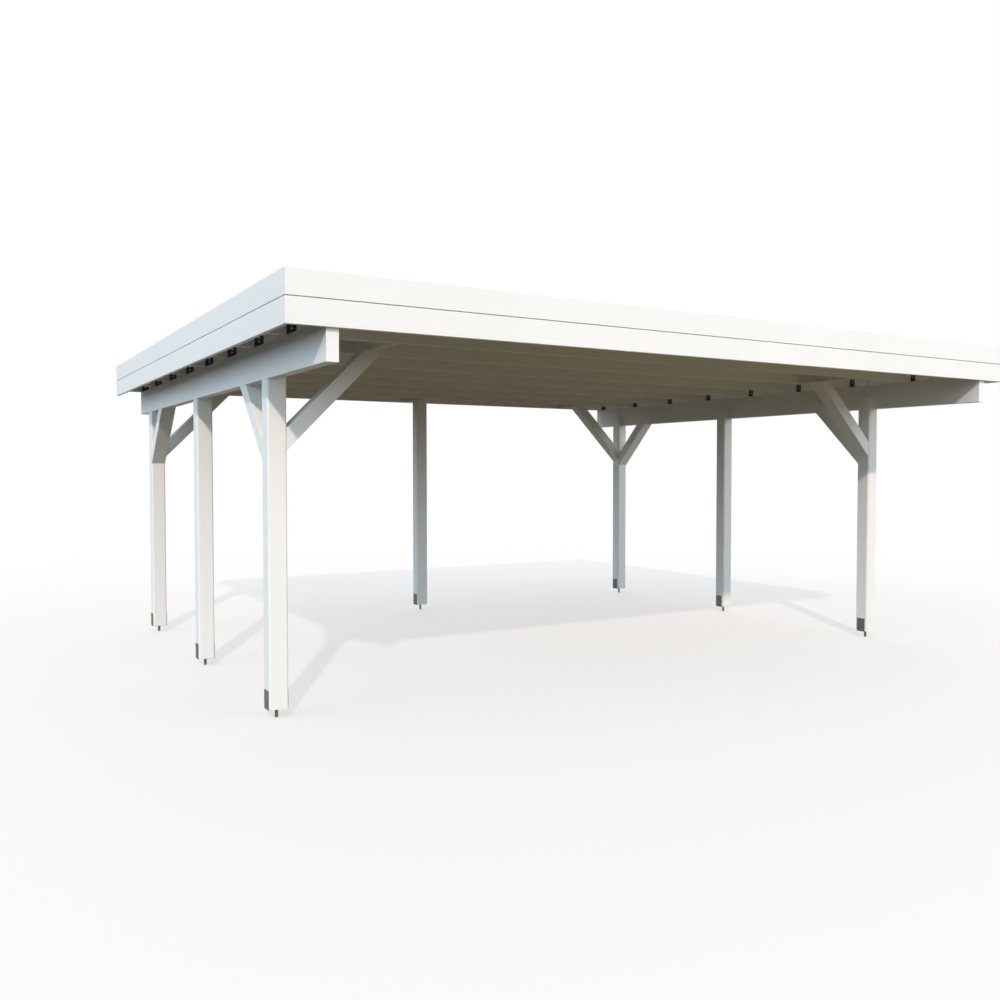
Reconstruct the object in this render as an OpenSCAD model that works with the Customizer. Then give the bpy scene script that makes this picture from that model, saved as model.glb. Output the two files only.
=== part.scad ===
// Flat-roofed timber carport, open on all sides.
// Millimetres. X runs across the entrance, Y from the entrance to the rear, Z up.
// The origin lies on the ground under the middle of the roof.

/* [Roof] */
// Width over the outer faces of the side fascias
roof_w = 6320; // [5200:10:7200]
// Distance from a post row's outer face to the outer face of the fascia
side_overhang = 232.5; // [120:0.5:500]
// Distance from one rafter to the next
rafter_pitch = 662.5; // [450:0.5:800]
// Number of rafters
rafter_count = 9; // [7:1:12]
// Width of a rafter
rafter_w = 60; // [45:1:90]
// Height of a rafter
rafter_h = 145; // [110:1:200]
// Thickness of the deck boards
deck_t = 20; // [16:1:28]
// Thickness of the roof sheet
sheet_t = 5; // [2:0.5:8]
// Depth of the upstand's edge below the top of the fascia
upstand_drop = 18; // [5:1:40]

/* [Fascia] */
// Thickness of a fascia board
fascia_t = 28; // [18:1:40]
// Height of one fascia board
fascia_h = 145; // [110:1:200]
// Open joint between the lower and the upper board
fascia_joint = 4; // [2:1:10]

/* [Posts and purlins] */
// Side of the square posts
post_w = 125; // [100:5:160]
// Chamfer along the edges of the posts
post_chamfer = 10; // [2:1:15]
// Height of the purlins' undersides above the ground
clear_h = 2162; // [1900:1:2600]
// Width of a purlin
purlin_w = 72; // [50:1:90]
// Height of a purlin
purlin_h = 226; // [180:1:280]
// Height that a post's tongue rises beside its purlin
tongue_h = 120; // [60:5:160]
// Chamfer along the edges of the other timbers
edge_chamfer = 2; // [1:0.5:8]

/* [Braces] */
// Depth of a brace, square to its length
brace_d = 100; // [70:5:130]
// Reach of a side brace along the underside of its purlin
side_brace_reach = 507; // [350:1:700]
// Reach of a cross brace from its post, at the rafters' undersides
cross_brace_reach = 674; // [450:1:900]
// Slope of the braces
brace_angle = 45; // [40:1:50]

/* [Post shoes] */
// Height of the posts' feet above the ground
shoe_h = 60; // [30:1:120]
// Width of the shoe's flat steel
shoe_w = 80; // [50:1:100]
// Thickness of the shoe's flat steel
shoe_t = 5; // [3:0.5:8]
// Height of a side plate above the post's foot
shoe_plate_h = 120; // [80:5:160]
// Diameter of the rod that stands in the ground
rod_d = 22; // [16:1:30]

/* [Angle brackets] */
// Width of a bracket, across the rafter's face
bracket_w = 60; // [40:1:70]
// Length of a bracket's legs
bracket_leg = 80; // [40:1:100]
// Thickness of a bracket's sheet
bracket_t = 3; // [2:0.5:4]

/* [Hidden] */
// Place of the front and rear post rows inside their rafter bays, from the bay's front rafter
front_row_share = 0.642;
rear_row_share = 0.371;
// Height of the open joint of the fascia, from the rafters' undersides
fascia_joint_share = 0.7;
// Overrun of cuts past a surface
overrun = 10;
$fn = 48;

// The deck lies inside the fascia
deck_w = roof_w - 2 * fascia_t;
frame_d = (rafter_count - 1) * rafter_pitch + rafter_w;
roof_d = frame_d + 2 * fascia_t;
frame_front = -frame_d / 2;
roof_rear = roof_d / 2;
rafter_z = clear_h + purlin_h;
rafter_top = rafter_z + rafter_h;
deck_top = rafter_top + deck_t;
fascia_joint_z = rafter_z + fascia_joint_share * rafter_h;
fascia_top = fascia_joint_z + fascia_joint / 2 + fascia_h;
post_outer_x = roof_w / 2 - side_overhang;
post_inner_x = post_outer_x - post_w;
tongue_w = post_w - purlin_w;
bracket_x = post_outer_x - bracket_w / 2;
// Rafter bays over the front and rear post rows, counted from 0 at the front
front_bay = 1;
rear_bay = rafter_count - 2;
front_row_y = rafter_y(front_bay) + front_row_share * rafter_pitch + rafter_w / 2;
rear_row_y = rafter_y(rear_bay) + rear_row_share * rafter_pitch + rafter_w / 2;
middle_row_y = (front_row_y + rear_row_y) / 2;
// Lengths of a brace's cuts, and the middle of a cross brace's level cut
level_cut = brace_d / sin(brace_angle);
plumb_cut = brace_d / cos(brace_angle);
trimmer_x = post_inner_x - cross_brace_reach + level_cut / 2;

timber = "white";
galvanised = "dimgray";
black_steel = [0.08, 0.08, 0.09];
roofing = [0.22, 0.23, 0.24];

rows = ["front", "middle", "rear"];
corner_rows = ["front", "rear"];
sides = ["left", "right"];

// Front face of a rafter, counted from 0 at the front
function rafter_y(i) = frame_front + i * rafter_pitch;

// Side view of a brace that leaves a post at 0 and is cut off level at a height
function brace_outline(foot, top) =
    let (run = (top - foot) / tan(brace_angle))
    [[0, foot], [run, top], [run - level_cut, top], [0, foot + plumb_cut]];

// Rectangle with chamfered corners, from the origin
module chamfered(w, d, c = edge_chamfer) {
    polygon([[c, 0], [w - c, 0], [w, c], [w, d - c], [w - c, d], [c, d], [0, d - c], [0, c]]);
}

// Square post from its shoe to a height, centred on the origin
module post_blank(top) {
    translate([-post_w / 2, -post_w / 2, shoe_h])
        linear_extrude(top - shoe_h) chamfered(post_w, post_w, post_chamfer);
}

// Side post with its head notched for the purlin on its left
module side_post(y) {
    color(timber)
        translate([-post_outer_x + post_w / 2, y, 0])
            difference() {
                post_blank(clear_h + tongue_h);
                translate([-post_w / 2 - overrun, -post_w / 2 - overrun, clear_h])
                    cube([purlin_w + overrun, post_w + 2 * overrun, tongue_h + overrun]);
            }
}

module centre_post() {
    color(timber) translate([0, rear_row_y, 0]) post_blank(rafter_z);
}

// Flat steel bent to a U under a post, on a rod
module post_shoe(x, y) {
    half = post_w / 2;
    color(galvanised)
        translate([x, y, 0]) {
            translate([0, shoe_w / 2, shoe_h]) rotate([90, 0, 0]) linear_extrude(shoe_w) {
                for (side = [-1, 1]) {
                    translate([side * (half + shoe_t / 2) - shoe_t / 2, 0]) square([shoe_t, shoe_plate_h]);
                    intersection() {
                        translate([side * half, 0]) circle(shoe_t);
                        translate([side * (half + shoe_t / 2) - shoe_t / 2, -shoe_t]) square(shoe_t);
                    }
                }
                translate([-half, -shoe_t]) square([post_w, shoe_t]);
            }
            cylinder(d = rod_d, h = shoe_h - shoe_t);
        }
}

module purlin() {
    color(timber)
        translate([-post_outer_x, roof_rear, clear_h]) rotate([90, 0, 0])
            linear_extrude(roof_rear - frame_front) chamfered(purlin_w, purlin_h);
}

// Chamfered bar along a brace, wide enough across Y for a post
module brace_bar(foot, top) {
    translate([0, 0, foot]) rotate([0, 90 - brace_angle, 0])
        translate([-brace_d, -post_w / 2, -brace_d])
            linear_extrude((top - foot) / sin(brace_angle) + 2 * brace_d) chamfered(brace_d, post_w);
}

// Slab of a brace between two places across Y
module brace_slab(y0, y1, foot, top) {
    translate([0, y1, 0]) rotate([90, 0, 0]) linear_extrude(y1 - y0) polygon(brace_outline(foot, top));
}

// Brace from a corner post to the underside of a trimmer, leaving the left post row
module cross_brace(y) {
    foot = rafter_z - cross_brace_reach * tan(brace_angle);
    color(timber)
        translate([-post_inner_x, y, 0])
            intersection() {
                brace_slab(-post_w / 2, post_w / 2, foot, rafter_z);
                brace_bar(foot, rafter_z);
            }
}

// Brace from a left corner post to its purlin, with a tongue beside the purlin.
// It leaves the post towards the rear (way 1) or the front (way -1).
module side_brace(y, way) {
    foot = clear_h - side_brace_reach * tan(brace_angle);
    tongue_top = clear_h + tongue_h;
    color(timber)
        translate([-post_outer_x + post_w / 2, y, 0]) mirror([0, way < 0 ? 1 : 0, 0])
            translate([0, post_w / 2, 0]) rotate([0, 0, 90])
                intersection() {
                    union() {
                        brace_slab(-post_w / 2, post_w / 2 - purlin_w, foot, tongue_top);
                        brace_slab(post_w / 2 - purlin_w, post_w / 2, foot, clear_h);
                    }
                    brace_bar(foot, tongue_top);
                }
}

module rafter(i) {
    color(timber)
        translate([-deck_w / 2, rafter_y(i), rafter_z]) rotate([90, 0, 90])
            linear_extrude(deck_w) chamfered(rafter_w, rafter_h);
}

// Short timber along Y that fills a bay between two rafters
module trimmer(x, bay) {
    translate([x - rafter_w / 2, rafter_y(bay + 1), rafter_z]) rotate([90, 0, 0])
        linear_extrude(rafter_pitch - rafter_w) chamfered(rafter_w, rafter_h);
}

// Trimmers over the four cross braces and over the rear centre post
module trimmers() {
    color(timber) {
        for (side = [-1, 1], bay = [front_bay, rear_bay]) trimmer(side * trimmer_x, bay);
        trimmer(0, rear_bay);
    }
}

// Bent angle: one leg along -Y on the purlin, one up the rafter's face
module angle_bracket() {
    bend = 2 * bracket_t;
    rotate([90, 0, -90]) linear_extrude(bracket_w, center = true)
        difference() {
            square(bracket_leg);
            translate([bend, bend]) circle(bend - bracket_t);
            translate([bend, bracket_t]) square(bracket_leg);
            translate([bracket_t, bend]) square(bracket_leg);
            difference() {
                square(bend);
                translate([bend, bend]) circle(bend);
            }
        }
}

// One bracket for each rafter on each purlin, flush with the purlin's outer face:
// behind the first rafter, in front of the others
module angle_brackets() {
    color(black_steel)
        for (side = [-1, 1], i = [0 : rafter_count - 1])
            translate([side * bracket_x, rafter_y(i) + (i == 0 ? rafter_w : 0), rafter_z])
                mirror([0, i == 0 ? 1 : 0, 0]) angle_bracket();
}

// Front board of the fascia with mitred ends, from a height up
module front_fascia(z) {
    outer = roof_w / 2;
    inner = deck_w / 2;
    color(timber)
        translate([0, -roof_rear, z]) linear_extrude(fascia_h)
            polygon([[-outer, 0], [outer, 0], [inner, fascia_t], [-inner, fascia_t]]);
}

// Left board of the fascia, mitred at the front and square at the rear
module side_fascia(z) {
    color(timber)
        translate([-roof_w / 2, -roof_rear, z]) linear_extrude(fascia_h)
            polygon([[0, 0], [fascia_t, fascia_t], [fascia_t, roof_d], [0, roof_d]]);
}

module rear_eaves_board() {
    color(timber)
        translate([-deck_w / 2, roof_rear - fascia_t, rafter_z]) cube([deck_w, fascia_t, rafter_h]);
}

module roof_deck() {
    color(timber)
        translate([-deck_w / 2, frame_front, rafter_top]) cube([deck_w, roof_rear - frame_front, deck_t]);
}

// Sheet on the deck, turned up inside the fascia on three sides
module roof_sheet() {
    sheet_d = roof_rear - frame_front;
    upstand_h = fascia_top - upstand_drop - deck_top;
    color(roofing)
        translate([-deck_w / 2, frame_front, deck_top])
            difference() {
                cube([deck_w, sheet_d, upstand_h]);
                translate([sheet_t, sheet_t, sheet_t])
                    cube([deck_w - 2 * sheet_t, sheet_d + overrun, upstand_h + overrun]);
            }
}

module on_right() {
    mirror([1, 0, 0]) children();
}

fascia_lower_z = fascia_joint_z - fascia_joint / 2 - fascia_h;
fascia_upper_z = fascia_joint_z + fascia_joint / 2;
shoe_x = post_outer_x - post_w / 2;

side_post(front_row_y);  // front_left_post
side_post(middle_row_y);  // middle_left_post
side_post(rear_row_y);  // rear_left_post
on_right() side_post(front_row_y);  // front_right_post
on_right() side_post(middle_row_y);  // middle_right_post
on_right() side_post(rear_row_y);  // rear_right_post
centre_post();  // rear_centre_post
post_shoe(-shoe_x, front_row_y);  // front_left_shoe
post_shoe(-shoe_x, middle_row_y);  // middle_left_shoe
post_shoe(-shoe_x, rear_row_y);  // rear_left_shoe
post_shoe(shoe_x, front_row_y);  // front_right_shoe
post_shoe(shoe_x, middle_row_y);  // middle_right_shoe
post_shoe(shoe_x, rear_row_y);  // rear_right_shoe
post_shoe(0, rear_row_y);  // rear_centre_shoe
purlin();  // left_purlin
on_right() purlin();  // right_purlin
side_brace(front_row_y, 1);  // front_left_side_brace
side_brace(rear_row_y, -1);  // rear_left_side_brace
on_right() side_brace(front_row_y, 1);  // front_right_side_brace
on_right() side_brace(rear_row_y, -1);  // rear_right_side_brace
cross_brace(front_row_y);  // front_left_cross_brace
cross_brace(rear_row_y);  // rear_left_cross_brace
on_right() cross_brace(front_row_y);  // front_right_cross_brace
on_right() cross_brace(rear_row_y);  // rear_right_cross_brace
for (i = [0 : rafter_count - 1])
    rafter(i);
trimmers();
angle_brackets();
front_fascia(fascia_lower_z);  // front_fascia_lower
side_fascia(fascia_lower_z);  // left_fascia_lower
on_right() side_fascia(fascia_lower_z);  // right_fascia_lower
front_fascia(fascia_upper_z);  // front_fascia_upper
side_fascia(fascia_upper_z);  // left_fascia_upper
on_right() side_fascia(fascia_upper_z);  // right_fascia_upper
rear_eaves_board();
roof_deck();
roof_sheet();
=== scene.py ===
"""Looks of a white-painted timber carport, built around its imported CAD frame."""

import math
import random

import bmesh
import bpy
from mathutils import Matrix, Vector


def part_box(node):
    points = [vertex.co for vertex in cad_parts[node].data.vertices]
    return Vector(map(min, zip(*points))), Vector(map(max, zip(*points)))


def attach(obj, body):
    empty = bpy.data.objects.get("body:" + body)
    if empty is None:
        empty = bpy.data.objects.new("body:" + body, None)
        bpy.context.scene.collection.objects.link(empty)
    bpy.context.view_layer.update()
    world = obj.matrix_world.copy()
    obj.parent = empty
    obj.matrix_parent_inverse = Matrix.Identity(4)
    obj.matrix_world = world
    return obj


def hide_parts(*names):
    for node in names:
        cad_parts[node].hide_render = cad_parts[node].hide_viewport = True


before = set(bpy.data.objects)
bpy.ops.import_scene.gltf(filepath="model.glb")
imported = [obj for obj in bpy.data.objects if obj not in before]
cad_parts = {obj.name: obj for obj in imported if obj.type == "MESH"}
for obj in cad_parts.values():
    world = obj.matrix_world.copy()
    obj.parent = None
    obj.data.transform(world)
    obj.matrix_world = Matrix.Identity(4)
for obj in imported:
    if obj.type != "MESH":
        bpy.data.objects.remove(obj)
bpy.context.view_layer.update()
MM = 0.001
BODY = "root"
X, Y, Z = Vector((1, 0, 0)), Vector((0, 1, 0)), Vector((0, 0, 1))

# Camera, solved from the photograph
CAMERA_PLACE = Vector((-4.692, -7.456, 1.5805))
CAMERA_YAW = 30.712
CAMERA_PITCH = -1.769
CAMERA_ROLL = 0.032
FOCAL_PX = 939.25
FRAME_PX = 1000
SENSOR = 36.0

# Light
SUN_WAY = Vector((0.763, 1.38, -1.0))
SUN_STRENGTH = 1.95
SUN_SPREAD = 1.6
SUN_COLOUR = (1.0, 0.87, 0.765)
LEFT_FILL_WAY = Vector((0.85, 0.1, -0.34))
LEFT_FILL_STRENGTH = 1.43
LEFT_FILL_COLOUR = (0.61, 0.845, 1.0)
FRONT_FILL_WAY = Vector((-0.55, 0.75, -0.14))
FRONT_FILL_STRENGTH = 1.38
FRONT_FILL_COLOUR = (0.9, 0.97, 1.0)
BACK_FILL_WAY = Vector((-0.4, -0.8, -0.45))
BACK_FILL_STRENGTH = 0.8
BACK_FILL_COLOUR = (1.0, 0.98, 0.95)
FILL_SPREAD = 50.0
LAMP_DISTANCE = 10.0
SKY_COLOUR = (0.8, 0.9, 1.0)
SKY_STRENGTH = 0.72
SEEN_WHITE = (1.0, 1.0, 1.0, 1.0)

# Floor: its fade runs out from the middle, its bounced light changes along y and x
FLOOR_SIZE = 400.0
FLOOR_CELLS = 8
FLOOR_PALE = (0.83, 0.77, 0.73)
FLOOR_FADE = (5.0, 13.0)
FLOOR_GLOW_SHARE = 0.55
BOUNCE_NEAR = (0.14, 0.113, 0.073)
BOUNCE_FRONT = (0.26, 0.21, 0.122)
BOUNCE_FADE = (-6.5, -4.0)
BOUNCE_LEFT = (0.03, 0.027, 0.02)
BOUNCE_SIDE_FADE = (-4.0, -2.0)

# Finishes; the fascia and ceiling whites are copies of the timber white with painted shade in them
WHITE = (0.877, 0.864, 0.845)
PAINT_ROUGHNESS = 0.55
PAINT_GLOSS = 0.25
# Painted shade: the fascia's white is a darker copy of the timber white, dimmed against the stronger
# light on the fascia so that it does not clip
FASCIA_WHITE_DIMMED = (0.853, 0.844, 0.834)
FASCIA_ROUGHNESS = 0.5
# Painted shade: the white under the roof is a darker, warmer copy of the timber white, for the parts
# that stand in shade
CEILING_WHITE_SHADED = (0.86, 0.852, 0.82)
CEILING_ROUGHNESS = 0.8
CEILING_GLOSS = 0.06
ZINC_GREY = (0.14, 0.13, 0.121)
ZINC_SPANGLE = 110.0
SCREW_GREY = (0.5, 0.5, 0.5)
SCREW_SPANGLE = 300.0
COATED_BLACK = (0.006, 0.006, 0.0065)
FELT_GREY = (0.075, 0.078, 0.083)
DUST = (0.15, 0.145, 0.13)

# Paint on timber: scales run along and across the grain, spans are the part of a noise that shows,
# shares say how far a tone shows, and reliefs are a bump's strength and depth
FIBRE_SCALE = (2.2, 70.0, 70.0)
FIBRE_SPAN = (0.38, 0.68)
FIBRE_SHARE = 0.35
FIBRE_TONE = 0.94
FIBRE_RELIEF = (0.35, 0.5 * MM)
RING_SCALE = (0.55, 22.0, 22.0)
RING_RELIEF = (0.25, 0.9 * MM)
BRUSH_SCALE = (6.0, 420.0, 420.0)
BRUSH_RELIEF = (0.2, 0.15 * MM)
BRUSH_SMOOTHER = 0.07
BRUSH_ROUGHER = 0.09
CLOUD_SCALE = 1.7
CLOUD_TONE = 0.972
KNOT_SCALE = (1.5, 8.0, 8.0)
KNOT_SPAN = (0.03, 0.17)
KNOT_SHARE = 0.3
KNOT_TONE = (0.97, 0.93, 0.83)
KNOT_RELIEF = (0.25, 0.6 * MM)
RUBBED_SPAN = (0.45, 0.7)
RUBBED_SHARE = 0.8
RUBBED_TONE = 0.8
NOISE_MIDDLE = (0.3, 0.7)

# Zinc
CRYSTAL_TONES = (0.88, 1.1)
CRYSTAL_ROUGHNESS = (0.42, 0.6)
CRYSTAL_RELIEF = (0.15, 0.2 * MM)
STAIN_SCALE = 22.0
STAIN_SPAN = (0.45, 0.75)
STAIN_SHARE = 0.6
STAIN_TONE = 0.62
STAIN_RELIEF = (0.3, 0.3 * MM)
ZINC_METALLIC = 0.75

# Black coat
WEAR_SCALE = 70.0
WEAR_SPAN = (0.6, 0.78)
WEAR_SHARE = 0.5
WEAR_TONE = 5.0
SPECKLE_SCALE = 1600.0
SPECKLE_ROUGHNESS = (0.42, 0.62)
SPECKLE_RELIEF = (0.3, 0.1 * MM)

# Felt facing
GRIT_SCALE = 420.0
GRIT_TONES = (0.55, 1.65)
GRIT_RELIEF = (0.6, 0.8 * MM)
WASH_SCALE = 0.9
WASH_SPAN = (0.42, 0.75)
WASH_SHARE = 0.4
WASH_RELIEF = (0.2, 4 * MM)
STREAK_SCALE = (5.0, 0.7, 5.0)
STREAK_SPAN = (0.5, 0.8)
STREAK_SHARE = 0.25
STREAK_TONE = 0.6
FELT_ROUGHNESS = 0.92

# Timber
EASE = 2.5 * MM
EASE_FINE = 0.7 * MM
EASE_SEGMENTS = 2
SAME_POINT = 0.01 * MM
FLAT_ANGLE = math.radians(1.0)
ARRIS_ANGLE = math.radians(30.0)
GRAIN_SHIFT = 40.0
BOARD_COVER = 96 * MM
BOARD_GROOVE = 5 * MM
BOARD_GAP = 0.6 * MM
BUTT_RAFTERS = (3, 6, 4, 7, 5)

# Roofing felt
FELT_T = 4 * MM
FELT_STRIP = 1.0
FELT_LAP = 80 * MM
FELT_RAMP = 20 * MM
FELT_CANT = 45 * MM
FELT_FOOT = 140 * MM
FELT_WAVE_MM = 0.8
FELT_STEPS_ACROSS = 48
FELT_STEPS_ALONG = 40
DRIP = 45 * MM

# Fasteners: a head is its radius and height, its profile is in shares of them
HEAD_PROFILE = (
    (0.0, 0.0), (1.0, 0.0), (1.0, 0.25), (0.88, 0.7), (0.62, 1.0), (0.4, 1.0), (0.34, 0.45), (0.0, 0.45),
)
HEAD_SIDES = 18
NAIL = (5 * MM, 1 * MM)
NAIL_SIDES = 10
NAIL_STEP = 150 * MM
NAIL_DROP = 15 * MM
NAIL_CLEAR = 0.3 * MM
SHOE_SCREW = (8 * MM, 3 * MM)
SHOE_RISES = (35 * MM, 100 * MM)
SHOE_STEEL = 5 * MM
WELD_PROFILE = (
    (0, 0), (18 * MM, 0), (15.5 * MM, 2 * MM), (12.5 * MM, 5 * MM), (11 * MM, 8 * MM), (0, 8 * MM),
)
WELD_SIDES = 24
BRACKET_SCREW = (7 * MM, 3.2 * MM)
BRACKET_RISES = (38 * MM, 62 * MM)
BRACKET_STEEL = 3 * MM
BRACKET_WIDTH = 60 * MM
TIMBER_SCREW = (6.5 * MM, 1.2 * MM)
BRACE_SCREWS = (70 * MM, 110 * MM)
BRACE_SCREW_LIFT = 60 * MM
TONGUE_SCREWS = (35 * MM, 85 * MM)
TONGUE_SCREW_MIDDLE = 60 * MM
TONGUE_SCREW_SLANT = 0.8
BOARD_SCREW = (4.5 * MM, 0.5 * MM)
BOARD_SCREW_SIDES = 12
BOARD_SCREW_RISE = 45 * MM
SCREW_STEP = 0.6


# Node trees

def new_material(name):
    """A node material, with its nodes, links and Principled shader."""
    mat = bpy.data.materials.new(name)
    mat.use_nodes = True
    nodes = mat.node_tree.nodes
    return mat, nodes, mat.node_tree.links, nodes["Principled BSDF"]


def add_node(nodes, kind, **settings):
    """A node with its properties and, by name, its input values set."""
    node = nodes.new(kind)
    for key, value in settings.items():
        if key in node.inputs:
            node.inputs[key].default_value = value
        else:
            setattr(node, key, value)
    return node


def stretched(nodes, links, source, scale):
    """Coordinates from a socket, scaled by axis."""
    mapping = nodes.new("ShaderNodeMapping")
    mapping.inputs["Scale"].default_value = scale
    links.new(source, mapping.inputs["Vector"])
    return mapping.outputs["Vector"]


def noise(nodes, links, vector, scale=1.0, detail=4.0, roughness=0.55):
    """A noise texture's value at the coordinates given."""
    node = add_node(nodes, "ShaderNodeTexNoise", Scale=scale, Detail=detail, Roughness=roughness)
    links.new(vector, node.inputs["Vector"])
    return node.outputs["Fac"]


def remap(nodes, links, value, low, high, to_low, to_high):
    """A value carried from one range to another, and held at its ends."""
    node = add_node(nodes, "ShaderNodeMapRange")
    sockets = ("From Min", "From Max", "To Min", "To Max")
    for socket, number in zip(sockets, (low, high, to_low, to_high)):
        node.inputs[socket].default_value = number
    links.new(value, node.inputs["Value"])
    return node.outputs["Result"]


def mixed_colour(nodes, links, factor, first, second):
    """Mixes two colours, each a tuple or a socket, by a factor socket."""
    node = add_node(nodes, "ShaderNodeMix", data_type="RGBA", blend_type="MIX")
    inputs = node.inputs
    for socket, value in ((inputs[0], factor), (inputs[6], first), (inputs[7], second)):
        if isinstance(value, bpy.types.NodeSocket):
            links.new(value, socket)
        else:
            socket.default_value = (*value, 1.0)
    return node.outputs[2]


def bumped(nodes, links, heights, shader):
    """Chains bump maps, given as (height socket, strength, distance), into the shader's normal."""
    normal = None
    for height, strength, distance in heights:
        node = add_node(nodes, "ShaderNodeBump", Strength=strength, Distance=distance)
        links.new(height, node.inputs["Height"])
        if normal is not None:
            links.new(normal, node.inputs["Normal"])
        normal = node.outputs["Normal"]
    links.new(normal, shader.inputs["Normal"])


def shade(colour, factor):
    """A colour made darker or lighter."""
    return tuple(c * factor for c in colour)


def painted_timber(name, colour, roughness, gloss):
    """Opaque paint on planed softwood: grain and brush marks in relief, knots and wear as faint tone."""
    mat, nodes, links, shader = new_material(name)
    grain = add_node(nodes, "ShaderNodeAttribute", attribute_name="grain").outputs["Vector"]
    place = nodes.new("ShaderNodeNewGeometry").outputs["Position"]
    along = stretched(nodes, links, grain, FIBRE_SCALE)
    fibres = noise(nodes, links, along, detail=7.0, roughness=0.62)
    along = stretched(nodes, links, grain, RING_SCALE)
    rings = noise(nodes, links, along, detail=3.0, roughness=0.5)
    along = stretched(nodes, links, grain, BRUSH_SCALE)
    brush = noise(nodes, links, along, detail=2.0)
    clouds = noise(nodes, links, place, scale=CLOUD_SCALE, detail=5.0)
    knot_cells = add_node(nodes, "ShaderNodeTexVoronoi", Scale=1.0, Randomness=1.0)
    links.new(stretched(nodes, links, grain, KNOT_SCALE), knot_cells.inputs["Vector"])
    knots = remap(nodes, links, knot_cells.outputs["Distance"], *KNOT_SPAN, 1.0, 0.0)

    cloudy = remap(nodes, links, clouds, *NOISE_MIDDLE, 0.0, 1.0)
    tone = mixed_colour(nodes, links, cloudy, shade(colour, CLOUD_TONE), colour)
    fibrous = remap(nodes, links, fibres, *FIBRE_SPAN, 0.0, FIBRE_SHARE)
    tone = mixed_colour(nodes, links, fibrous, tone, shade(colour, FIBRE_TONE))
    arris = add_node(nodes, "ShaderNodeAttribute", attribute_name="arris").outputs["Fac"]
    rubbed = add_node(nodes, "ShaderNodeMath", operation="MULTIPLY")
    links.new(arris, rubbed.inputs[0])
    links.new(remap(nodes, links, fibres, *RUBBED_SPAN, 0.0, RUBBED_SHARE), rubbed.inputs[1])
    tone = mixed_colour(nodes, links, rubbed.outputs[0], tone, shade(colour, RUBBED_TONE))
    bled = tuple(c * k for c, k in zip(colour, KNOT_TONE))
    faint = add_node(nodes, "ShaderNodeMath", operation="MULTIPLY")
    links.new(knots, faint.inputs[0])
    faint.inputs[1].default_value = KNOT_SHARE
    tone = mixed_colour(nodes, links, faint.outputs[0], tone, bled)
    links.new(tone, shader.inputs["Base Color"])

    brushed = (roughness - BRUSH_SMOOTHER, roughness + BRUSH_ROUGHER)
    links.new(remap(nodes, links, brush, *NOISE_MIDDLE, *brushed), shader.inputs["Roughness"])
    shader.inputs["Specular IOR Level"].default_value = gloss
    bumped(nodes, links, [
        (rings, *RING_RELIEF), (fibres, *FIBRE_RELIEF), (brush, *BRUSH_RELIEF), (knots, *KNOT_RELIEF),
    ], shader)
    return mat


def galvanised(name, colour, spangle):
    """Dull zinc with faint crystals."""
    mat, nodes, links, shader = new_material(name)
    place = nodes.new("ShaderNodeNewGeometry").outputs["Position"]
    cells = add_node(nodes, "ShaderNodeTexVoronoi", Scale=spangle, Randomness=1.0)
    links.new(place, cells.inputs["Vector"])
    crystal = nodes.new("ShaderNodeSeparateColor")
    links.new(cells.outputs["Color"], crystal.inputs["Color"])
    stain = noise(nodes, links, place, scale=STAIN_SCALE, detail=6.0, roughness=0.7)
    dark, bright = [shade(colour, factor) for factor in CRYSTAL_TONES]
    tone = mixed_colour(nodes, links, crystal.outputs[0], dark, bright)
    stained = remap(nodes, links, stain, *STAIN_SPAN, 0.0, STAIN_SHARE)
    tone = mixed_colour(nodes, links, stained, tone, shade(colour, STAIN_TONE))
    links.new(tone, shader.inputs["Base Color"])
    shader.inputs["Metallic"].default_value = ZINC_METALLIC
    dull = remap(nodes, links, crystal.outputs[1], 0.0, 1.0, *CRYSTAL_ROUGHNESS)
    links.new(dull, shader.inputs["Roughness"])
    bumped(nodes, links, [(cells.outputs["Distance"], *CRYSTAL_RELIEF), (stain, *STAIN_RELIEF)], shader)
    return mat


def coated_black(name):
    """Black powder coat with a fine texture, rubbed grey here and there."""
    mat, nodes, links, shader = new_material(name)
    place = nodes.new("ShaderNodeNewGeometry").outputs["Position"]
    rubbed = noise(nodes, links, place, scale=WEAR_SCALE, detail=5.0, roughness=0.7)
    speckle = noise(nodes, links, place, scale=SPECKLE_SCALE, detail=2.0)
    wear = remap(nodes, links, rubbed, *WEAR_SPAN, 0.0, WEAR_SHARE)
    tone = mixed_colour(nodes, links, wear, COATED_BLACK, shade(COATED_BLACK, WEAR_TONE))
    links.new(tone, shader.inputs["Base Color"])
    dull = remap(nodes, links, speckle, *NOISE_MIDDLE, *SPECKLE_ROUGHNESS)
    links.new(dull, shader.inputs["Roughness"])
    bumped(nodes, links, [(speckle, *SPECKLE_RELIEF)], shader)
    return mat


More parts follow.
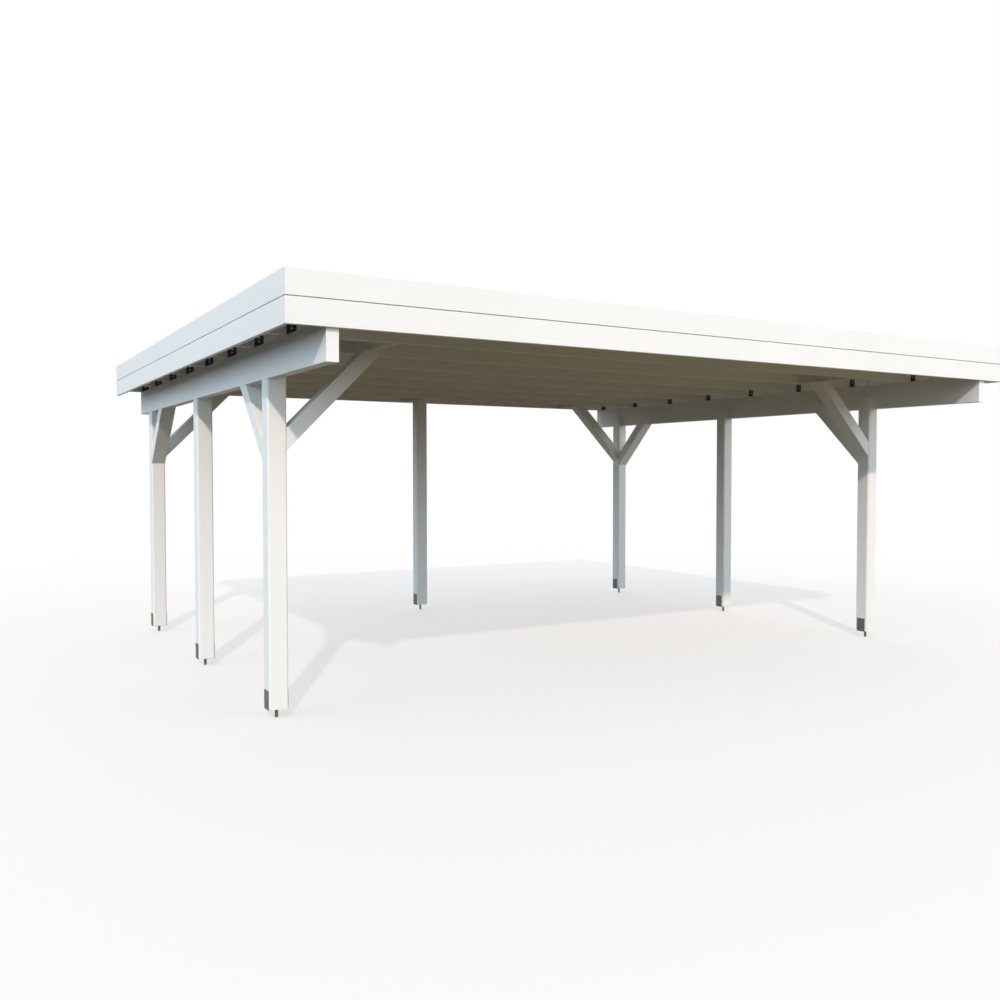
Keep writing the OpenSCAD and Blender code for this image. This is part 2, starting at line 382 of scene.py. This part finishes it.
def mineral_felt(name):
    """Roofing felt faced with slate granules, a little washed and dusty."""
    mat, nodes, links, shader = new_material(name)
    place = nodes.new("ShaderNodeNewGeometry").outputs["Position"]
    grit = add_node(nodes, "ShaderNodeTexVoronoi", Scale=GRIT_SCALE, Randomness=1.0)
    links.new(place, grit.inputs["Vector"])
    flake = nodes.new("ShaderNodeSeparateColor")
    links.new(grit.outputs["Color"], flake.inputs["Color"])
    washed = noise(nodes, links, place, scale=WASH_SCALE, detail=7.0, roughness=0.62)
    streaks = noise(nodes, links, stretched(nodes, links, place, STREAK_SCALE), detail=4.0)
    dark, bright = [shade(FELT_GREY, factor) for factor in GRIT_TONES]
    tone = mixed_colour(nodes, links, flake.outputs[0], dark, bright)
    dusty = remap(nodes, links, washed, *WASH_SPAN, 0.0, WASH_SHARE)
    tone = mixed_colour(nodes, links, dusty, tone, DUST)
    streaky = remap(nodes, links, streaks, *STREAK_SPAN, 0.0, STREAK_SHARE)
    tone = mixed_colour(nodes, links, streaky, tone, shade(FELT_GREY, STREAK_TONE))
    links.new(tone, shader.inputs["Base Color"])
    shader.inputs["Roughness"].default_value = FELT_ROUGHNESS
    bumped(nodes, links, [(grit.outputs["Distance"], *GRIT_RELIEF), (washed, *WASH_RELIEF)], shader)
    return mat


# Mesh helpers

def new_piece(name, bm, material, slot, *nodes):
    """Turns a bmesh into a piece that rides on the frame, in place of any CAD nodes named."""
    bmesh.ops.recalc_face_normals(bm, faces=bm.faces)
    mesh = bpy.data.meshes.new(name)
    bm.to_mesh(mesh)
    bm.free()
    mesh.materials.append(material)
    obj = bpy.data.objects.new(name, mesh)
    bpy.context.scene.collection.objects.link(obj)
    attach(obj, BODY)
    if nodes:
        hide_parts(*nodes)
    return obj


def timber_mesh():
    """An empty bmesh with room for the grain of its timbers and a mark on their arrises."""
    bm = bmesh.new()
    bm.verts.layers.float_vector.new("grain")
    bm.faces.layers.float.new("arris")
    return bm


def add_grain(bm, verts, along, seed):
    """Writes each vertex's place along and across its timber, shifted so that no two look alike."""
    layer = bm.verts.layers.float_vector["grain"]
    rng = random.Random(seed)
    shift = Vector([rng.uniform(0.0, GRAIN_SHIFT) for _ in range(3)])
    turn = along.normalized().rotation_difference(X).to_matrix()
    for v in verts:
        v[layer] = turn @ v.co + shift


def eased_copy(node, along, material, slot, ease=EASE):
    """A CAD timber with its arrises eased, and its grain laid along it."""
    bm = timber_mesh()
    bm.from_mesh(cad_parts[node].data)
    bmesh.ops.remove_doubles(bm, verts=bm.verts, dist=SAME_POINT)
    bmesh.ops.dissolve_limit(bm, angle_limit=FLAT_ANGLE, verts=bm.verts, edges=bm.edges)
    arrises = [e for e in bm.edges if e.is_convex and e.calc_face_angle(0.0) > ARRIS_ANGLE]
    eased = bmesh.ops.bevel(
        bm, geom=arrises, offset=ease, segments=EASE_SEGMENTS, profile=0.5, affect="EDGES",
    )
    mark = bm.faces.layers.float["arris"]
    for face in eased["faces"]:
        face[mark] = 1.0
    add_grain(bm, bm.verts, along, node)
    return new_piece(node + "_painted", bm, material, slot, node)


def prism(bm, outline, start, end):
    """A closed prism: an outline of points, shifted by start at one end and by end at the other."""
    first = [bm.verts.new(p + start) for p in outline]
    last = [bm.verts.new(p + end) for p in outline]
    count = len(outline)
    bm.faces.new(first)
    bm.faces.new(reversed(last))
    for i in range(count):
        j = (i + 1) % count
        bm.faces.new((first[i], last[i], last[j], first[j]))
    return first + last


def standing(place, way):
    """A matrix that stands +Z along a direction at a place."""
    return Matrix.Translation(place) @ way.to_track_quat("Z", "Y").to_matrix().to_4x4()


def turned(bm, profile, place, way, sides):
    """A closed turned shape: (radius, height) points from axis to axis, standing along a direction."""
    matrix = standing(place, way)
    rings = []
    for radius, height in profile:
        if radius == 0.0:
            rings.append([bm.verts.new(matrix @ Vector((0, 0, height)))])
            continue
        ring = []
        for i in range(sides):
            t = 2 * math.pi * (i + 0.5) / sides
            point = Vector((radius * math.cos(t), radius * math.sin(t), height))
            ring.append(bm.verts.new(matrix @ point))
        rings.append(ring)
    for low, high in zip(rings, rings[1:]):
        for i in range(sides):
            j = (i + 1) % sides
            corners = (low[i % len(low)], low[j % len(low)], high[j % len(high)], high[i % len(high)])
            bm.faces.new(list(dict.fromkeys(corners)))


def screw_head(bm, size, place, way, sides=HEAD_SIDES):
    """A domed screw head with a round drive recess."""
    radius, height = size
    profile = [(a * radius, b * height) for a, b in HEAD_PROFILE]
    turned(bm, profile, place, way, sides)


# Timber

def dress_timber(paint, dimmed_fascia_paint, shaded_ceiling_paint):
    """Eased and painted copies of every timber."""
    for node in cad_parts:
        if node.endswith("_post"):
            eased_copy(node, Z, paint, "painted_timber", EASE_FINE)
        elif node.endswith("_purlin"):
            eased_copy(node, Y, paint, "painted_timber", EASE_FINE)
        elif node.endswith("_brace"):
            across = X if "_cross_" in node else Y
            inward = (1 if "left" in node else -1) if across is X else (1 if "front" in node else -1)
            eased_copy(node, across * inward + Z, paint, "painted_timber", EASE_FINE)
        elif node == "trimmers":
            eased_copy(node, Y, shaded_ceiling_paint, "painted_timber", EASE_FINE)
        elif node.startswith("rafter_"):
            eased_copy(node, X, shaded_ceiling_paint, "painted_timber", EASE_FINE)
        elif "_fascia_" in node or node == "rear_eaves_board":
            along = Y if node.startswith(("left", "right")) else X
            eased_copy(node, along, dimmed_fascia_paint, "painted_fascia")


def deck_boards(shaded_ceiling_paint):
    """Tongued and grooved boards over the rafters, V-jointed below, butted on staggered rafters."""
    low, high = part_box("roof_deck")
    rafters = [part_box(f"rafter_{i}") for i in BUTT_RAFTERS]
    butts = [(a.y + b.y) / 2 for a, b in rafters]
    count = round((high.x - low.x) / BOARD_COVER)
    cover = (high.x - low.x) / count
    groove, gap = BOARD_GROOVE, BOARD_GAP / 2
    outline = [
        Vector((gap, 0, high.z)),
        Vector((cover - gap, 0, high.z)),
        Vector((cover - gap, 0, low.z + groove)),
        Vector((cover - groove, 0, low.z)),
        Vector((groove, 0, low.z)),
        Vector((gap, 0, low.z + groove)),
    ]
    bm = timber_mesh()
    for i in range(count):
        butt = butts[i % len(butts)]
        for k, (y0, y1) in enumerate(((low.y, butt - gap), (butt + gap, high.y))):
            shift = Vector((low.x + i * cover, 0, 0))
            verts = prism(bm, outline, shift + Y * y0, shift + Y * y1)
            add_grain(bm, verts, Y, f"board {i} {k}")
    return new_piece("deck_boards", bm, shaded_ceiling_paint, "painted_boards", "roof_deck")


# Roofing

def felt_profile(bm, points, start, end, steps, seed):
    """A strip of felt: a line of points in its cross-section, run from start to end, slightly wavy."""
    rng = random.Random(seed)
    normals = []
    for i in range(len(points)):
        before = points[max(i - 1, 0)]
        after = points[min(i + 1, len(points) - 1)]
        normals.append((end - start).cross(after - before).normalized())
    if normals[0].z < 0:
        normals = [-n for n in normals]
    rows = []
    for k in range(steps + 1):
        run = start.lerp(end, k / steps)
        ends = k in (0, steps)
        wave = [0.0 if ends else rng.uniform(0.0, FELT_WAVE_MM) * MM for _ in points]
        below = [bm.verts.new(p + run) for p in points]
        above = [bm.verts.new(p + run + n * (FELT_T + w)) for p, n, w in zip(points, normals, wave)]
        rows.append(below + above[::-1])
    count = len(rows[0])
    for first, second in zip(rows, rows[1:]):
        for i in range(count):
            j = (i + 1) % count
            bm.faces.new((first[i], first[j], second[j], second[i]))
    bm.faces.new(rows[0])
    bm.faces.new(reversed(rows[-1]))


def roof_felt():
    """Felt on the deck in lapped strips, turned up inside the fascia and down at the rear."""
    low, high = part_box("roof_sheet")
    bm = bmesh.new()
    rear = high.y
    lap = Z * FELT_T
    strip = 0
    while rear > low.y + FELT_LAP:
        front = max(rear - FELT_STRIP, low.y)
        points = [Vector((0, front, low.z)), Vector((0, rear - FELT_LAP - FELT_RAMP, low.z))]
        if strip == 0:
            points[1].y = high.y
            points += [Vector((0, high.y + FELT_T / 2, low.z - DRIP))]
        else:
            points += [Vector((0, rear - FELT_LAP, low.z)) + lap, Vector((0, rear, low.z)) + lap]
        felt_profile(bm, points, X * low.x, X * high.x, FELT_STEPS_ACROSS, f"strip {strip}")
        rear = front + FELT_LAP if front > low.y else low.y
        strip += 1

    top = high.z - low.z
    section = [(FELT_FOOT, FELT_T), (FELT_CANT, FELT_T), (FELT_T, FELT_CANT), (FELT_T, top)]
    for side, edge in ((1, low.x), (-1, high.x)):
        points = [Vector((edge + side * a, 0, low.z + b)) for a, b in section]
        felt_profile(bm, points, Y * low.y, Y * high.y, FELT_STEPS_ALONG, f"upstand {side}")
    points = [Vector((0, low.y + a, low.z + b)) for a, b in section]
    felt_profile(bm, points, X * low.x, X * high.x, FELT_STEPS_ACROSS, "front upstand")
    return new_piece("roof_felt", bm, mineral_felt("mineral_felt"), "roof_sheet", "roof_sheet")


def felt_nails(zinc):
    """Clout nails along the upper edges of the upstands."""
    low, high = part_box("roof_sheet")
    height = high.z - NAIL_DROP
    inset = 2 * FELT_T + NAIL_CLEAR
    bm = bmesh.new()
    for k in range(int((high.y - low.y) / NAIL_STEP)):
        y = low.y + (k + 0.5) * NAIL_STEP
        screw_head(bm, NAIL, Vector((low.x + inset, y, height)), X, NAIL_SIDES)
        screw_head(bm, NAIL, Vector((high.x - inset, y, height)), -X, NAIL_SIDES)
    for k in range(int((high.x - low.x) / NAIL_STEP)):
        x = low.x + (k + 0.5) * NAIL_STEP
        screw_head(bm, NAIL, Vector((x, low.y + inset, height)), Y, NAIL_SIDES)
    return new_piece("felt_nails", bm, zinc, "galvanised_steel")


# Fasteners

def middle(node):
    """A node's box and its middle."""
    low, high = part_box(node)
    return low, high, (low + high) / 2


def shoe_screws(zinc):
    """Two screws through each plate of a shoe into the post, and the weld round the head of its rod."""
    bm = bmesh.new()
    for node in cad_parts:
        if not node.endswith("_shoe"):
            continue
        low, high, mid = middle(node)
        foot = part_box(node.replace("_shoe", "_post"))[0].z
        for rise in SHOE_RISES:
            for x, way in ((low.x, -X), (high.x, X)):
                screw_head(bm, SHOE_SCREW, Vector((x, mid.y, foot + rise)), way)
        turned(bm, WELD_PROFILE, Vector((mid.x, mid.y, foot - SHOE_STEEL)), -Z, WELD_SIDES)
    return new_piece("shoe_screws", bm, zinc, "galvanised_steel")


def bracket_screws(zinc):
    """Screws along the middle of each bracket's two legs."""
    bm = bmesh.new()
    rafters = sorted(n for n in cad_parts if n.startswith("rafter_"))
    low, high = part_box("angle_brackets")
    for rafter in rafters:
        face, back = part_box(rafter)
        first = rafter == "rafter_1"
        way = Y if first else -Y
        y = back.y if first else face.y
        for x in (low.x + BRACKET_WIDTH / 2, high.x - BRACKET_WIDTH / 2):
            for rise in BRACKET_RISES:
                upright = Vector((x, y, face.z + rise)) + way * BRACKET_STEEL
                screw_head(bm, BRACKET_SCREW, upright, way)
                lying = Vector((x, y, face.z + BRACKET_STEEL)) + way * rise
                screw_head(bm, BRACKET_SCREW, lying, Z)
    return new_piece("bracket_screws", bm, zinc, "galvanised_steel")


def timber_screws(paint):
    """Painted-over screw heads where braces and post heads are fixed."""
    bm = timber_mesh()
    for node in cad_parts:
        low, high, mid = middle(node)
        if node.endswith("_cross_brace"):
            side = 1 if "left" in node else -1
            outer = low.x if side > 0 else high.x
            for along in BRACE_SCREWS:
                foot = Vector((outer + side * along, low.y, low.z + along + BRACE_SCREW_LIFT))
                screw_head(bm, TIMBER_SCREW, foot, -Y)
                screw_head(bm, TIMBER_SCREW, foot + Y * (high.y - low.y), Y)
        elif node.endswith("_post") and "centre" not in node:
            inner, way = (high.x, X) if "left" in node else (low.x, -X)
            for drop in TONGUE_SCREWS:
                shift = (drop - TONGUE_SCREW_MIDDLE) * TONGUE_SCREW_SLANT
                screw_head(bm, TIMBER_SCREW, Vector((inner, mid.y + shift, high.z - drop)), way)
    return new_piece("timber_screws", bm, paint, "painted_timber")


def board_screws(paint):
    """Small countersunk screws, painted over, that hold the fascia boards to the rafters."""
    bm = timber_mesh()
    rafters = [middle(n)[2].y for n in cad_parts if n.startswith("rafter_")]
    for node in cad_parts:
        if "_fascia_" not in node and node != "rear_eaves_board":
            continue
        low, high, mid = middle(node)
        rises = (mid.z - BOARD_SCREW_RISE, mid.z + BOARD_SCREW_RISE)
        if node.startswith(("left", "right")):
            x, way = (low.x, -X) if node.startswith("left") else (high.x, X)
            spots = [(Vector((x, y, z)), way) for y in rafters for z in rises]
        else:
            y, way = (low.y, -Y) if node.startswith("front") else (high.y, Y)
            count = round((high.x - low.x) / SCREW_STEP)
            step = (high.x - low.x) / count
            spots = [
                (Vector((low.x + (i + 0.5) * step, y, z)), way) for i in range(count) for z in rises
            ]
        for place, way in spots:
            screw_head(bm, BOARD_SCREW, place, way, BOARD_SCREW_SIDES)
    return new_piece("board_screws", bm, paint, "painted_fascia")


# Stage

def make_camera():
    """The photograph's camera."""
    data = bpy.data.cameras.new("camera")
    data.sensor_fit = "HORIZONTAL"
    data.sensor_width = SENSOR
    data.lens = SENSOR * FOCAL_PX / FRAME_PX
    data.clip_end = FLOOR_SIZE
    camera = bpy.data.objects.new("camera", data)
    turn = Matrix.Rotation(math.radians(-CAMERA_YAW), 4, "Z")
    tilt = Matrix.Rotation(math.radians(90.0 + CAMERA_PITCH), 4, "X")
    roll = Matrix.Rotation(math.radians(-CAMERA_ROLL), 4, "Z")
    camera.matrix_world = Matrix.Translation(CAMERA_PLACE) @ turn @ tilt @ roll
    bpy.context.scene.collection.objects.link(camera)
    bpy.context.scene.camera = camera


def seen_directly(nodes, links):
    """1 where the camera, a reflection or glass looks, 0 for light that bounces."""
    path = nodes.new("ShaderNodeLightPath")
    total = path.outputs["Is Camera Ray"]
    for name in ("Is Glossy Ray", "Is Transmission Ray"):
        node = add_node(nodes, "ShaderNodeMath", operation="MAXIMUM")
        links.new(total, node.inputs[0])
        links.new(path.outputs[name], node.inputs[1])
        total = node.outputs[0]
    return total


def make_floor():
    """A pale floor that keeps the shadow near the carport and fades to white further out.

    The light that it throws back is set by itself: dim and warm, most in front and least on the left.
    """
    bm = bmesh.new()
    bmesh.ops.create_grid(bm, x_segments=FLOOR_CELLS, y_segments=FLOOR_CELLS, size=FLOOR_SIZE / 2)
    mesh = bpy.data.meshes.new("floor")
    bm.to_mesh(mesh)
    bm.free()
    floor = bpy.data.objects.new("floor", mesh)
    bpy.context.scene.collection.objects.link(floor)

    mat = bpy.data.materials.new("pale_floor")
    mat.use_nodes = True
    nodes, links = mat.node_tree.nodes, mat.node_tree.links
    nodes.remove(nodes["Principled BSDF"])
    place = nodes.new("ShaderNodeNewGeometry").outputs["Position"]
    reach = add_node(nodes, "ShaderNodeVectorMath", operation="LENGTH")
    links.new(place, reach.inputs[0])
    fade = remap(nodes, links, reach.outputs["Value"], *FLOOR_FADE, FLOOR_GLOW_SHARE, 1.0)
    lit = add_node(nodes, "ShaderNodeBsdfDiffuse", Color=(*FLOOR_PALE, 1.0))
    glow = add_node(nodes, "ShaderNodeEmission", Color=SEEN_WHITE, Strength=1.0)
    bounce = nodes.new("ShaderNodeBsdfDiffuse")
    axes = nodes.new("ShaderNodeSeparateXYZ")
    links.new(place, axes.inputs[0])
    inward = remap(nodes, links, axes.outputs["Y"], *BOUNCE_FADE, 0.0, 1.0)
    ground = mixed_colour(nodes, links, inward, BOUNCE_FRONT, BOUNCE_NEAR)
    beside = remap(nodes, links, axes.outputs["X"], *BOUNCE_SIDE_FADE, 0.0, 1.0)
    links.new(mixed_colour(nodes, links, beside, BOUNCE_LEFT, ground), bounce.inputs["Color"])
    pale = nodes.new("ShaderNodeMixShader")
    links.new(fade, pale.inputs[0])
    links.new(lit.outputs[0], pale.inputs[1])
    links.new(glow.outputs[0], pale.inputs[2])
    both = nodes.new("ShaderNodeMixShader")
    links.new(seen_directly(nodes, links), both.inputs[0])
    links.new(bounce.outputs[0], both.inputs[1])
    links.new(pale.outputs[0], both.inputs[2])
    links.new(both.outputs[0], nodes["Material Output"].inputs["Surface"])
    mesh.materials.append(mat)


def make_light():
    """A sun from the front left, three broad soft fills and a sky, which is white where it is seen."""
    for name, way, strength, colour, spread in (
        ("sun", SUN_WAY, SUN_STRENGTH, SUN_COLOUR, SUN_SPREAD),
        ("left_fill", LEFT_FILL_WAY, LEFT_FILL_STRENGTH, LEFT_FILL_COLOUR, FILL_SPREAD),
        ("front_fill", FRONT_FILL_WAY, FRONT_FILL_STRENGTH, FRONT_FILL_COLOUR, FILL_SPREAD),
        ("back_fill", BACK_FILL_WAY, BACK_FILL_STRENGTH, BACK_FILL_COLOUR, FILL_SPREAD),
    ):
        data = bpy.data.lights.new(name, "SUN")
        data.energy = strength
        data.color = colour
        data.angle = math.radians(spread)
        lamp = bpy.data.objects.new(name, data)
        lamp.matrix_world = standing(-way * LAMP_DISTANCE, -way)
        bpy.context.scene.collection.objects.link(lamp)

    world = bpy.data.worlds.new("sky")
    bpy.context.scene.world = world
    world.use_nodes = True
    nodes, links = world.node_tree.nodes, world.node_tree.links
    sky = nodes["Background"]
    sky.inputs["Color"].default_value = (*SKY_COLOUR, 1.0)
    sky.inputs["Strength"].default_value = SKY_STRENGTH
    white = add_node(nodes, "ShaderNodeBackground", Color=SEEN_WHITE, Strength=1.0)
    both = nodes.new("ShaderNodeMixShader")
    links.new(seen_directly(nodes, links), both.inputs[0])
    links.new(sky.outputs[0], both.inputs[1])
    links.new(white.outputs[0], both.inputs[2])
    links.new(both.outputs[0], nodes["World Output"].inputs["Surface"])


bpy.context.scene.view_settings.view_transform = "Standard"
make_camera()
make_floor()
make_light()

paint = painted_timber("white_paint", WHITE, PAINT_ROUGHNESS, PAINT_GLOSS)
# Painted shade: the fascia paint is the timber white made darker against the fascia's stronger light
dimmed_fascia_paint = painted_timber("white_fascia_paint_dimmed", FASCIA_WHITE_DIMMED, FASCIA_ROUGHNESS, PAINT_GLOSS)
# Painted shade: the ceiling paint is the timber white made darker and warmer for the shaded underside
shaded_ceiling_paint = painted_timber("white_ceiling_paint_shaded", CEILING_WHITE_SHADED, CEILING_ROUGHNESS, CEILING_GLOSS)
zinc = galvanised("galvanised_steel", ZINC_GREY, ZINC_SPANGLE)
screw_zinc = galvanised("zinc_plate", SCREW_GREY, SCREW_SPANGLE)
black = coated_black("black_coat")
dress_timber(paint, dimmed_fascia_paint, shaded_ceiling_paint)
deck_boards(shaded_ceiling_paint)
roof_felt()
felt_nails(screw_zinc)
shoe_screws(zinc)
bracket_screws(screw_zinc)
timber_screws(paint)
board_screws(dimmed_fascia_paint)
for name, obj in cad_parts.items():
    if name.endswith("_shoe") or name == "angle_brackets":
        obj.data.materials.clear()
        obj.data.materials.append(black if name == "angle_brackets" else zinc)
